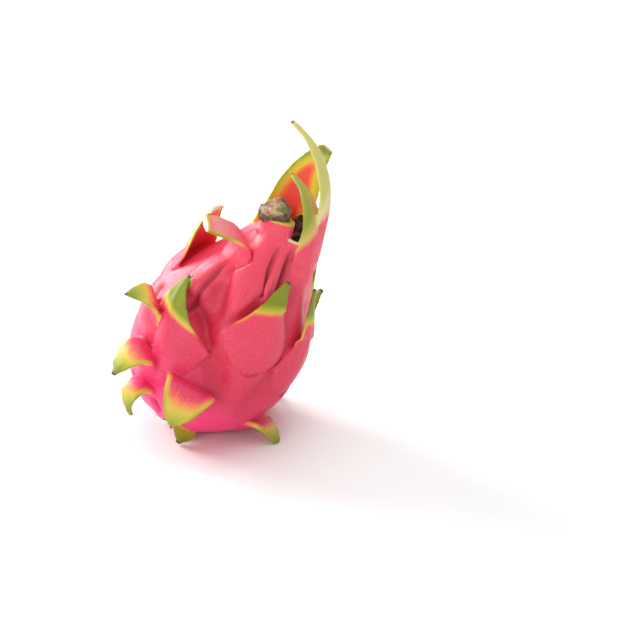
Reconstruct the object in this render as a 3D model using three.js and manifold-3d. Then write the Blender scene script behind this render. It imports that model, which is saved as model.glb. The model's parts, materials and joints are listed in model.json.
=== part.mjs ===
// A whole dragon fruit (pitahaya), as picked: a fleshy rind that grows its leaf-like bracts in one piece,
// the dry cup that the flower left in the crown, and the woody stub of the cut stalk at the base.
// Millimetres, +Z up. The origin is the centre of the small flat spot that the fruit rests on.
//
// The fruit is modelled upright first, about its own core line: +Z runs from the stalk to the crown,
// "along" is the height on that line, counted from the widest girth, and "around" is the angle about it,
// in degrees, counted from +X towards +Y. Then the whole fruit leans over and is set down on its flat spot.

import * as THREE from "three";
import { mergeVertices } from "three/addons/utils/BufferGeometryUtils.js";
import Module from "manifold-3d";

const wasm = await Module();
wasm.setup();
const { Manifold, Mesh } = wasm;

// ---- driving dimensions ----
const GIRTH_RADIUS = 40; // widest girth of the rind
const BASE_LENGTH = 46; // widest girth to the stalk end
const CROWN_LENGTH = 66; // widest girth to the rim of the crown
const NECK_RADIUS = 13; // rind at the rim of the crown
const CROWN_TAPER = 1.4; // 1 swells out to the crown, more draws in sooner
const CROWN_SWAY = 3; // how far the crown leans off the core line, towards around = 180
const LEAN_DEG = 35; // lean of the core line from upright, towards +X
const FLAT_DEPTH = 2; // how much of the rind the flat spot takes off
const CUP_RADIUS = 9.5; // outside of the dry flower cup at the rim
const CUP_FLOOR_RADIUS = 6; // outside of the dry flower cup at its floor
const CUP_DEPTH = 15;
const CUP_WALL = 1.4;
const CUP_PROUD = 2.5; // how far the cup's lip stands above the rind's rim
const STALK_RADIUS = 4.5;
const STALK_PROUD = 2; // how far the stalk stub stands out of the rind
const STALK_SOCKET = 5; // how deep it sits in the rind
const END_RADIUS = 7.8; // dry cut end on the crown's thick rib
const END_LENGTH = 12;
const END_SHIFT = 2.2; // how far it sits off the rib's middle, away from the cup
const END_SEAT = 3; // how deep the dry cut end sits in the rib
const END_FLATNESS = 0.8;
const NOTCH_AROUND = 285; // where the crown's rim is split, so that the cup shows
const NOTCH_WIDTH = 5;
const NOTCH_DEPTH = 5;
const SEAT_GAP = 0.3; // clearance between pieces that touch
const BURIED = 3; // how far a bract's root starts below the rind's surface
const MARGIN_THICKNESS = 1.1; // thinnest edge of a bract
const MARGIN_THINNING = 0.65; // how much thinner a bract's margins are than its middle, as a share
const MARGIN_DROOP = 0.45; // how far a rooted bract's margins fall back to the rind, as a share of its rise
const ROOT_THICKNESS = 5; // thickness of a bract's middle at its root, besides its rise

// ---- fineness of the mesh ----
const GIRTH_STEPS = 40;
const BASE_STEPS = 9;
const CROWN_STEPS = 9;
const BRACT_ROWS = 12;
const BRACT_COLUMNS = 6;
const CUP_STEPS = 24;
const END_STEPS = 14;
const STALK_STEPS = 10;

// ---- the bracts ----
// around, along   where the root is
// heading         which way it grows over the rind: 0 to the crown, 90 to growing "around"
// rooted, free    length grown onto the rind, and length that stands free
// widths          half widths, evenly spaced from root to tip
// rise            how proud its middle is of the rind where it comes free
// lift            turn away from the rind in degrees, evenly spaced along the free length, after a 0
// yaw             sideways turn over the free length, in degrees
// thick           thickness of the middle where it comes free, and at the tip
// gutter          radius of its hollow cross-section where it comes free, and at the tip
const BRACTS = [
  // crown
  {
    name: "crown_rib", around: 256, along: 2, heading: -8, rooted: 64, free: 8, rise: 7, yaw: -12,
    widths: [15, 13, 10.5, 9, 8.5], lift: [19, 25], thick: [13, 14], gutter: [12, 9],
  },
  {
    name: "notch_rib", around: 285, along: 17, heading: -7, rooted: 52, free: 3, rise: 4.5, yaw: 1,
    widths: [8, 7, 6, 5], lift: [5], thick: [5, 4], gutter: [16, 12],
  },
  {
    name: "front_blade", around: 318, along: 40, heading: -8, rooted: 22, free: 48, rise: 5, yaw: 3,
    widths: [12, 10, 8, 6, 4.2, 0.9], lift: [0, -27, -50, -71], thick: [3.4, 1.5], gutter: [16, 8],
  },
  {
    name: "right_blade", around: 336, along: 45, heading: 1, rooted: 20, free: 69, rise: 3.5, yaw: -9,
    widths: [11, 10.5, 8, 6.6, 4.8, 0.9], lift: [-1, -19, -44, -65], thick: [3.2, 1.5], gutter: [14, 10],
  },
  {
    name: "back_blade", around: 111, along: 44, heading: 4, rooted: 20, free: 41, rise: 3, yaw: -23,
    widths: [15, 14, 13, 12.5, 9, 3.6], lift: [27, 31, 19, 4], thick: [3, 1.5], gutter: [22, 30],
  },
  {
    name: "side_blade", around: 20, along: 20, heading: 4, rooted: 26, free: 26, rise: 3, yaw: 0,
    widths: [15, 13, 10, 6, 0.9], lift: [6, 2, -10], thick: [3, 1.4], gutter: [14, 12],
  },
  {
    name: "rear_blade", around: 66, along: 30, heading: 4, rooted: 22, free: 24, rise: 3, yaw: 0,
    widths: [14, 12, 9, 5, 0.9], lift: [4, 2, -8], thick: [3, 1.4], gutter: [14, 12],
  },
  {
    name: "left_cut_curl", around: 218, along: -1, heading: 3, rooted: 46, free: 35, rise: 5, yaw: 23,
    widths: [17, 16, 13, 8.5, 4.6], lift: [89, 116, 125], thick: [5, 3.2], gutter: [20, 9],
  },
  {
    name: "left_cut_blade", around: 146, along: 2, heading: 24, rooted: 24, free: 31, rise: 4, yaw: -14,
    widths: [16, 16, 15, 12, 7], lift: [28, 20, 5], thick: [3.2, 1.8], gutter: [20, 15],
  },
  // flank
  {
    name: "left_curl", around: 202, along: -16, heading: 10, rooted: 20, free: 18, rise: 5, yaw: 4,
    widths: [18, 17, 13, 7, 0.9], lift: [75, 112, 136], thick: [3.4, 1.4], gutter: [40, 16],
  },
  {
    name: "left_shield", around: 264, along: -22, heading: -38, rooted: 44, free: 18, rise: 6.5, yaw: 30,
    widths: [17, 20, 17, 10.5, 5.8, 1], lift: [-6, -11], thick: [3.4, 1.5], gutter: [60, 14],
  },
  {
    name: "front_shield", around: 288, along: -8, heading: -4, rooted: 48, free: 14, rise: 6, yaw: 10,
    widths: [20, 25, 23, 13, 5.5, 1], lift: [13, 15], thick: [3.2, 1.5], gutter: [55, 10],
  },
  {
    name: "right_shield", around: 329, along: -15, heading: 0, rooted: 46, free: 24, rise: 5, yaw: -1,
    widths: [17, 20, 16, 8, 4, 0.9], lift: [-2, 0], thick: [3.2, 1.4], gutter: [45, 10],
  },
  {
    name: "rear_right_shield", around: 30, along: -16, heading: 6, rooted: 36, free: 20, rise: 5, yaw: 0,
    widths: [17, 20, 15, 8, 1], lift: [24, 40], thick: [3.2, 1.4], gutter: [45, 12],
  },
  {
    name: "rear_shield", around: 84, along: -22, heading: -6, rooted: 42, free: 20, rise: 5, yaw: 0,
    widths: [18, 21, 17, 9, 1], lift: [22, 30], thick: [3.2, 1.4], gutter: [45, 12],
  },
  {
    name: "rear_left_shield", around: 134, along: -16, heading: 4, rooted: 36, free: 14, rise: 5, yaw: 0,
    widths: [17, 20, 15, 8, 1], lift: [20, 34], thick: [3.2, 1.4], gutter: [45, 12],
  },
  // base
  {
    name: "base_left", around: 219, along: -31, heading: 5, rooted: 16, free: 19, rise: 2.5, yaw: -20,
    widths: [9, 11, 10, 6.5, 1], lift: [108, 140, 146], thick: [3.4, 1.5], gutter: [30, 16],
  },
  {
    name: "base_left_low", around: 236, along: -36, heading: -10, rooted: 8, free: 19, rise: 2, yaw: -26,
    widths: [7, 7.5, 6.5, 4, 1], lift: [96, 160, 192], thick: [3, 1.4], gutter: [18, 10],
  },
  {
    name: "base_front", around: 265, along: -29, heading: -4, rooted: 14, free: 21, rise: 3, yaw: -11,
    widths: [12, 14, 13, 7.5, 1], lift: [102, 156, 176], thick: [3.4, 1.5], gutter: [22, 16],
  },
  {
    name: "base_bottom", around: 285, along: -43, heading: 6, rooted: 8, free: 7, rise: 2, yaw: -2,
    widths: [9, 10, 9, 6, 1], lift: [50, 99, 145], thick: [3, 1.4], gutter: [18, 10],
  },
  {
    name: "base_tip", around: 212, along: -25, heading: 2, rooted: 10, free: 7, rise: 2, yaw: 0,
    widths: [8, 8, 5, 1], lift: [61, 91], thick: [2.8, 1.3], gutter: [24, 9],
  },
  {
    name: "prop_front", around: 334, along: -31, heading: 0, rooted: 12, free: 18, rise: 3, yaw: 0,
    widths: [12, 13, 11, 6.5, 1.4], lift: [55, 75, 95], thick: [3.8, 2], gutter: [24, 12],
  },
  {
    name: "prop_rear", around: 28, along: -31, heading: 0, rooted: 12, free: 18, rise: 3, yaw: 0,
    widths: [12, 13, 11, 6.5, 1.4], lift: [55, 75, 95], thick: [3.8, 2], gutter: [24, 12],
  },
  {
    name: "base_rear", around: 78, along: -40, heading: 0, rooted: 12, free: 18, rise: 2.5, yaw: 0,
    widths: [11, 12, 10, 6, 1], lift: [70, 110, 130], thick: [3, 1.4], gutter: [20, 12],
  },
  {
    name: "base_rear_left", around: 132, along: -41, heading: 0, rooted: 12, free: 15, rise: 2.5, yaw: 0,
    widths: [12, 12, 10, 6, 1], lift: [50, 80, 105], thick: [3, 1.4], gutter: [22, 12],
  },
];

// ---- small helpers ----
const radians = THREE.MathUtils.degToRad;
const mix = THREE.MathUtils.lerp;
const smooth = (x) => THREE.MathUtils.smoothstep(x, 0, 1);

// Value at share u (0 to 1) of a list of evenly spaced values, on a smooth curve through them.
function along(list, u) {
  if (list.length === 1) return list[0];
  const place = THREE.MathUtils.clamp(u, 0, 1) * (list.length - 1);
  const i = Math.min(Math.floor(place), list.length - 2);
  const f = place - i;
  const [a, b] = [list[i], list[i + 1]];
  const before = i > 0 ? list[i - 1] : 2 * a - b;
  const after = i + 2 < list.length ? list[i + 2] : 2 * b - a;
  const [startSlope, endSlope] = [(b - before) / 2, (after - a) / 2];
  return (
    a * (2 * f ** 3 - 3 * f ** 2 + 1) +
    startSlope * (f ** 3 - 2 * f ** 2 + f) +
    b * (3 * f ** 2 - 2 * f ** 3) +
    endSlope * (f ** 3 - f ** 2)
  );
}

// ---- the rind's own surface ----
function rindRadius(t) {
  if (t < 0) return GIRTH_RADIUS * Math.sqrt(Math.max(0, 1 - (t / BASE_LENGTH) ** 2));
  const share = Math.min(1, t / CROWN_LENGTH);
  const taper = Math.max(0, Math.cos((Math.PI / 2) * share)) ** CROWN_TAPER;
  return NECK_RADIUS + (GIRTH_RADIUS - NECK_RADIUS) * taper;
}

const sway = (t) => -CROWN_SWAY * (Math.max(0, t) / CROWN_LENGTH) ** 2;

function rindPoint(around, t) {
  const r = rindRadius(t);
  return new THREE.Vector3(sway(t) + r * Math.cos(around), r * Math.sin(around), t);
}

// Surface point with its outward normal, the direction to the crown and the direction of growing "around".
function rindFrame(around, t) {
  const step = 0.05;
  const at = rindPoint(around, t);
  const low = Math.max(t - step, -BASE_LENGTH + 0.01);
  const high = Math.min(t + step, CROWN_LENGTH);
  const crownward = rindPoint(around, high).sub(rindPoint(around, low)).normalize();
  const sideways = new THREE.Vector3(-Math.sin(around), Math.cos(around), 0);
  const normal = new THREE.Vector3().crossVectors(sideways, crownward).normalize();
  return { at, crownward, sideways, normal };
}

// ---- solids ----
// A closed three.js geometry as a manifold-3d solid.
function solidFrom(geometry) {
  const bare = geometry.clone();
  for (const name of Object.keys(bare.attributes)) if (name !== "position") bare.deleteAttribute(name);
  const merged = mergeVertices(bare, 1e-4);
  return new Manifold(
    new Mesh({
      numProp: 3,
      vertProperties: merged.attributes.position.array,
      triVerts: new Uint32Array(merged.index.array),
    }),
  );
}

// A manifold-3d solid as a three.js geometry.
function geometryFrom(solid) {
  const mesh = solid.getMesh();
  return new THREE.BufferGeometry()
    .setAttribute("position", new THREE.BufferAttribute(mesh.vertProperties, 3))
    .setIndex(new THREE.BufferAttribute(mesh.triVerts, 1))
    .toNonIndexed();
}

// A solid turned from a closed profile of [radius, height] points, on the core line.
function turned(profile, steps) {
  const geometry = new THREE.LatheGeometry(
    profile.map(([r, z]) => new THREE.Vector2(r, z)),
    steps,
  );
  return solidFrom(geometry.rotateX(Math.PI / 2));
}

// The bract's centre line on its outer face, as frames: at, forward, side and out, from root to tip.
function bractSpine(bract) {
  const rows = [];
  const total = bract.rooted + bract.free;
  const heading = radians(bract.heading);
  let around = radians(bract.around);
  let t = bract.along;
  let walked = 0;
  const rootedRows = Math.max(3, Math.round((BRACT_ROWS * bract.rooted) / total));
  const freeRows = Math.max(2, BRACT_ROWS - rootedRows);
  const fine = 8; // small steps walked for each row
  for (let i = 0; i <= rootedRows; i += 1) {
    const frame = rindFrame(around, t);
    const height = mix(-BURIED, bract.rise, smooth(i / rootedRows));
    const forward = frame.crownward
      .clone()
      .multiplyScalar(Math.cos(heading))
      .addScaledVector(frame.sideways, Math.sin(heading));
    rows.push({
      at: frame.at.clone().addScaledVector(frame.normal, height),
      forward,
      out: frame.normal,
      share: walked / total,
      radius: rindRadius(t),
      freeShare: 0,
    });
    if (i === rootedRows) break;
    for (let k = 0; k < fine; k += 1) {
      const step = bract.rooted / rootedRows / fine;
      const slope = rindFrame(around, t).crownward;
      t = Math.min(t + step * Math.cos(heading) * slope.z, CROWN_LENGTH - 0.5);
      around += (step * Math.sin(heading)) / Math.max(rindRadius(t), NECK_RADIUS / 2);
      walked += step;
    }
  }
  const start = rows[rows.length - 1];
  const side = new THREE.Vector3().crossVectors(start.forward, start.out).normalize();
  const at = start.at.clone();
  const step = bract.free / freeRows / fine;
  for (let i = 1; i <= freeRows; i += 1) {
    const frame = { forward: null, out: null };
    for (let k = 0; k < fine; k += 1) {
      const share = ((i - 1) * fine + k + 1) / (freeRows * fine);
      const turn = radians(along([0, ...bract.lift], share));
      const yaw = -radians(bract.yaw) * share;
      const level = start.forward.clone().applyAxisAngle(start.out, yaw);
      const across = side.clone().applyAxisAngle(start.out, yaw);
      frame.forward = level.clone().applyAxisAngle(across, turn);
      frame.out = start.out.clone().applyAxisAngle(across, turn);
      at.addScaledVector(frame.forward, step);
    }
    rows.push({
      at: at.clone(),
      forward: frame.forward,
      out: frame.out,
      share: (bract.rooted + (bract.free * i) / freeRows) / total,
      radius: start.radius,
      freeShare: i / freeRows,
    });
  }
  return rows;
}

// One bract: a hollowed, tapering sheet, closed all round.
function bractSolid(bract) {
  const positions = [];
  const spine = bractSpine(bract);
  const across = BRACT_COLUMNS + 1;
  for (const row of spine) {
    const side = new THREE.Vector3().crossVectors(row.forward, row.out).normalize();
    const half = along(bract.widths, row.share);
    const rootedShare = Math.min(1, (row.share * (bract.rooted + bract.free)) / bract.rooted);
    const hollow = row.freeShare
      ? mix(bract.gutter[0], bract.gutter[1], row.freeShare)
      : mix(Math.max(row.radius, half), bract.gutter[0], smooth(rootedShare * 2 - 1));
    const middle = row.freeShare
      ? mix(bract.thick[0], bract.thick[1], row.freeShare)
      : mix(bract.rise + ROOT_THICKNESS, bract.thick[0], smooth(rootedShare * 2 - 1));
    for (const face of [0, 1])
      for (let j = 0; j < across; j += 1) {
        const q = (2 * j) / BRACT_COLUMNS - 1;
        const angle = (q * half) / hollow;
        const thickness = Math.max(MARGIN_THICKNESS, middle * (1 - MARGIN_THINNING * q * q));
        const droop = row.freeShare ? 0 : MARGIN_DROOP * bract.rise * q * q * smooth(rootedShare);
        const depth = hollow * (1 - Math.cos(angle)) + droop + (face ? thickness : 0);
        const p = row.at
          .clone()
          .addScaledVector(side, hollow * Math.sin(angle))
          .addScaledVector(row.out, -depth);
        positions.push(p.x, p.y, p.z);
      }
  }
  // Quads of the two faces, of the two margins, and of the two ends.
  const index = [];
  const vertex = (row, face, j) => row * 2 * across + face * across + j;
  const quad = (a, b, c, d) => index.push(a, b, c, a, c, d);
  for (let i = 0; i + 1 < spine.length; i += 1) {
    for (let j = 0; j < BRACT_COLUMNS; j += 1) {
      quad(vertex(i, 0, j), vertex(i, 0, j + 1), vertex(i + 1, 0, j + 1), vertex(i + 1, 0, j));
      quad(vertex(i, 1, j + 1), vertex(i, 1, j), vertex(i + 1, 1, j), vertex(i + 1, 1, j + 1));
    }
    quad(vertex(i, 1, 0), vertex(i, 0, 0), vertex(i + 1, 0, 0), vertex(i + 1, 1, 0));
    quad(
      vertex(i, 0, BRACT_COLUMNS),
      vertex(i, 1, BRACT_COLUMNS),
      vertex(i + 1, 1, BRACT_COLUMNS),
      vertex(i + 1, 0, BRACT_COLUMNS),
    );
  }
  const last = spine.length - 1;
  for (let j = 0; j < BRACT_COLUMNS; j += 1) {
    quad(vertex(0, 1, j), vertex(0, 1, j + 1), vertex(0, 0, j + 1), vertex(0, 0, j));
    quad(vertex(last, 0, j), vertex(last, 0, j + 1), vertex(last, 1, j + 1), vertex(last, 1, j));
  }
  const geometry = new THREE.BufferGeometry()
    .setAttribute("position", new THREE.Float32BufferAttribute(positions, 3))
    .setIndex(index);
  return solidFrom(geometry);
}

// The rind's plain body, without bracts, as a turned solid with its crown swayed over.
function bodySolid() {
  const profile = [];
  for (let i = 0; i <= BASE_STEPS; i += 1) {
    const angle = (Math.PI / 2) * (1 - i / BASE_STEPS);
    profile.push([GIRTH_RADIUS * Math.cos(angle), -BASE_LENGTH * Math.sin(angle)]);
  }
  profile[0][0] = 0;
  for (let i = 1; i <= CROWN_STEPS; i += 1) {
    const t = (CROWN_LENGTH * i) / CROWN_STEPS;
    profile.push([rindRadius(t), t]);
  }
  profile.push([0, CROWN_LENGTH]);
  return turned(profile, GIRTH_STEPS).warp((v) => {
    v[0] += sway(v[2]);
  });
}

// Profile of the dry cup's outside, or of its seat in the rind when it is grown by a gap.
function cupOutside(grown, top) {
  const floor = CROWN_LENGTH - CUP_DEPTH - grown;
  return [
    [0, floor],
    [CUP_FLOOR_RADIUS + grown, floor],
    [CUP_RADIUS + grown, CROWN_LENGTH],
    [CUP_RADIUS + grown, top],
    [0, top],
  ];
}

const crownShift = [sway(CROWN_LENGTH), 0, 0];

const cupTop = CROWN_LENGTH + CUP_PROUD;
const cupSeat = () => turned(cupOutside(SEAT_GAP, cupTop + SEAT_GAP), CUP_STEPS).translate(crownShift);

function cupSolid() {
  const inside = [
    [0, CROWN_LENGTH - CUP_DEPTH + CUP_WALL],
    [CUP_FLOOR_RADIUS - CUP_WALL, CROWN_LENGTH - CUP_DEPTH + CUP_WALL],
    [CUP_RADIUS - CUP_WALL, CROWN_LENGTH],
    [CUP_RADIUS - CUP_WALL, cupTop + 1],
    [0, cupTop + 1],
  ];
  return turned(cupOutside(0, cupTop), CUP_STEPS)
    .subtract(turned(inside, CUP_STEPS))
    .translate(crownShift);
}

function stalkSolid(grown) {
  const low = -BASE_LENGTH - STALK_PROUD;
  const high = -BASE_LENGTH + STALK_SOCKET + grown;
  return turned(
    [
      [0, low - 3 * grown],
      [STALK_RADIUS * 0.86 + grown, low - 3 * grown],
      [STALK_RADIUS + grown, low + STALK_PROUD * 0.4],
      [STALK_RADIUS + grown, high],
      [0, high],
    ],
    STALK_STEPS,
  );
}

// The dry cut end, turned and flattened, set on the end of the crown's thick rib. Grown by a gap, it is
// its own seat.
function cutEndSolid(grown) {
  const rib = BRACTS.find((bract) => bract.name === "crown_rib");
  const end = bractSpine(rib).pop();
  const side = new THREE.Vector3().crossVectors(end.forward, end.out);
  const r = END_RADIUS + grown;
  const low = -END_SEAT - grown;
  const high = END_LENGTH - END_SEAT + grown;
  const profile = [
    [0, low],
    [r * 0.8, low],
    [r * 0.94, 0],
    [r, high * 0.55],
    [r * 0.86, high],
    [0, high * 0.9],
  ];
  const centre = end.at
    .clone()
    .addScaledVector(end.out, 0.5 - END_RADIUS * END_FLATNESS)
    .addScaledVector(side, -END_SHIFT);
  const onRib = new THREE.Matrix4().makeBasis(side, end.out, end.forward).setPosition(centre);
  return turned(profile, END_STEPS).scale([1, END_FLATNESS, 1]).transform(onRib.elements);
}

// The wedge that splits the crown's rim.
function notchSolid() {
  const outline = new THREE.Shape([
    new THREE.Vector2(-NOTCH_WIDTH / 2, CUP_PROUD),
    new THREE.Vector2(-NOTCH_WIDTH / 2, 0),
    new THREE.Vector2(0, -NOTCH_DEPTH),
    new THREE.Vector2(NOTCH_WIDTH / 2, 0),
    new THREE.Vector2(NOTCH_WIDTH / 2, CUP_PROUD),
  ]);
  const wedge = new THREE.ExtrudeGeometry(outline, { depth: 14, bevelEnabled: false })
    .rotateX(Math.PI / 2)
    .rotateZ(radians(NOTCH_AROUND + 90));
  return solidFrom(wedge.translate(sway(CROWN_LENGTH), 0, CROWN_LENGTH));
}

// ---- the flat spot and the lean ----
const lean = radians(LEAN_DEG);
const reachDown = Math.hypot(BASE_LENGTH * Math.cos(lean), GIRTH_RADIUS * Math.sin(lean));
const contactShift = ((BASE_LENGTH ** 2 - GIRTH_RADIUS ** 2) * Math.sin(lean) * Math.cos(lean)) / reachDown;
const setDown = new THREE.Matrix4()
  .makeRotationY(lean)
  .premultiply(new THREE.Matrix4().makeTranslation(contactShift, 0, reachDown - FLAT_DEPTH));
const place = (solid) => solid.transform(setDown.elements);
const SURFACE = 400; // size of the block that stands for all below the table
const tabletop = solidFrom(new THREE.BoxGeometry(SURFACE, SURFACE, SURFACE)).translate([
  0, 0, -SURFACE / 2,
]);

// ---- the four pieces ----
const rindBracts = Manifold.union([bodySolid(), ...BRACTS.map(bractSolid)]);
const seats = Manifold.union([cupSeat(), notchSolid(), stalkSolid(SEAT_GAP), cutEndSolid(SEAT_GAP)]);
const rind = place(rindBracts.subtract(seats)).subtract(tabletop);

function piece(name, solid, color, roughness) {
  const mesh = new THREE.Mesh(
    geometryFrom(solid),
    new THREE.MeshStandardMaterial({ color, roughness, metalness: 0 }),
  );
  mesh.name = name;
  return mesh;
}

const dragonFruit = new THREE.Group();
dragonFruit.add(piece("rind_with_bracts", rind, 0xe0325c, 0.42));
dragonFruit.add(piece("flower_cup", place(cupSolid()), 0x5b4636, 0.9));
dragonFruit.add(piece("dry_cut_end", place(cutEndSolid(0).subtract(cupSeat())), 0x9c8566, 0.9));
dragonFruit.add(piece("stalk_stub", place(stalkSolid(0)), 0x9a8a6c, 0.85));

export default dragonFruit;
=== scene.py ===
"""A whole dragon fruit: a waxy pink rind that grows its bracts in one skin, the dry cup of the flower in
its crown, the corky cut end on the crown's thick rib, and the stub of the stalk, on a white floor."""

import json
import math

import bpy
import numpy as np
from mathutils import Matrix, Vector, noise
from mathutils.bvhtree import BVHTree

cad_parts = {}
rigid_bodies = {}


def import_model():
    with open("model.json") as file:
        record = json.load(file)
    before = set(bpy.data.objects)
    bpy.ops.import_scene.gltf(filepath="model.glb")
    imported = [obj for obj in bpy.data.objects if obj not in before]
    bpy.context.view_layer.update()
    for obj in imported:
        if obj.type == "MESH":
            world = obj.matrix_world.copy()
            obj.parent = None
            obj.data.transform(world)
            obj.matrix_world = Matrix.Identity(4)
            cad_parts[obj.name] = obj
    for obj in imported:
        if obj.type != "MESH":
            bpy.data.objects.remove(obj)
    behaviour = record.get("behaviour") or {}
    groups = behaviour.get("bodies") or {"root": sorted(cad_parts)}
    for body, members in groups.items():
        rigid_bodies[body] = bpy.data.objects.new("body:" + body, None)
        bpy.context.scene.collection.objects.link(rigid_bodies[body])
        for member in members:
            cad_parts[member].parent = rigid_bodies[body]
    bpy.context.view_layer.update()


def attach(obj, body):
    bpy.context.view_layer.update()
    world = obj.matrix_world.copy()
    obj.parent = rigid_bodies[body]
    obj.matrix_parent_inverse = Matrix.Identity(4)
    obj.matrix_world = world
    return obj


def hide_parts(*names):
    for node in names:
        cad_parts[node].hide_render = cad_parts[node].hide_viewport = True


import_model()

MM = 0.001

# ---- the fruit's own sizes, in millimetres, about its core line ----
# "along" is the height on the core line above the widest girth; "around" is the angle about that line,
# in degrees.
GIRTH_RADIUS = 40
BASE_LENGTH = 46
CROWN_LENGTH = 66
NECK_RADIUS = 13
CROWN_TAPER = 1.4
CROWN_SWAY = 3
LEAN = math.radians(35)
FLAT_DEPTH = 2
CUP_RADIUS = 9.5
CUP_FLOOR_RADIUS = 6
CUP_DEPTH = 15
CUP_WALL = 1.4
CUP_PROUD = 2.5
STALK_RADIUS = 4.5
STALK_PROUD = 2
STALK_SOCKET = 5
END_RADIUS = 7.8
END_LENGTH = 12
END_SEAT = 3
END_SHIFT = 2.2
END_FLATNESS = 0.8
NOTCH_AROUND = 285
NOTCH_DEPTH = 5
SEAT_GAP = 0.3
BURIED = 2
MARGIN_THICKNESS = 1.1
MARGIN_THINNING = 0.65
MARGIN_DROOP = 0.45
ROOT_THICKNESS = 5
ROOT_SINK = 5
MIDRIB_HEIGHT = 0.35
MIDRIB_WIDTH = 0.12  # a share of the bract's half width
NOTCH_WIDTH = 0.2  # radians
NOTCH_RUN = 12

# ---- fineness ----
SKIN_VOXEL = 0.56
SKIN_TRIANGLES = 190000
SPINE_STEPS = 240
LEAF_ROWS = 48
LEAF_COLUMNS = 18
RIND_SEGMENTS = 144
RIND_RINGS = 110
PROFILE_STEPS = 30
SOFTENING_ROUNDS = 44
SOFT_LEVELS = 10

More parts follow.
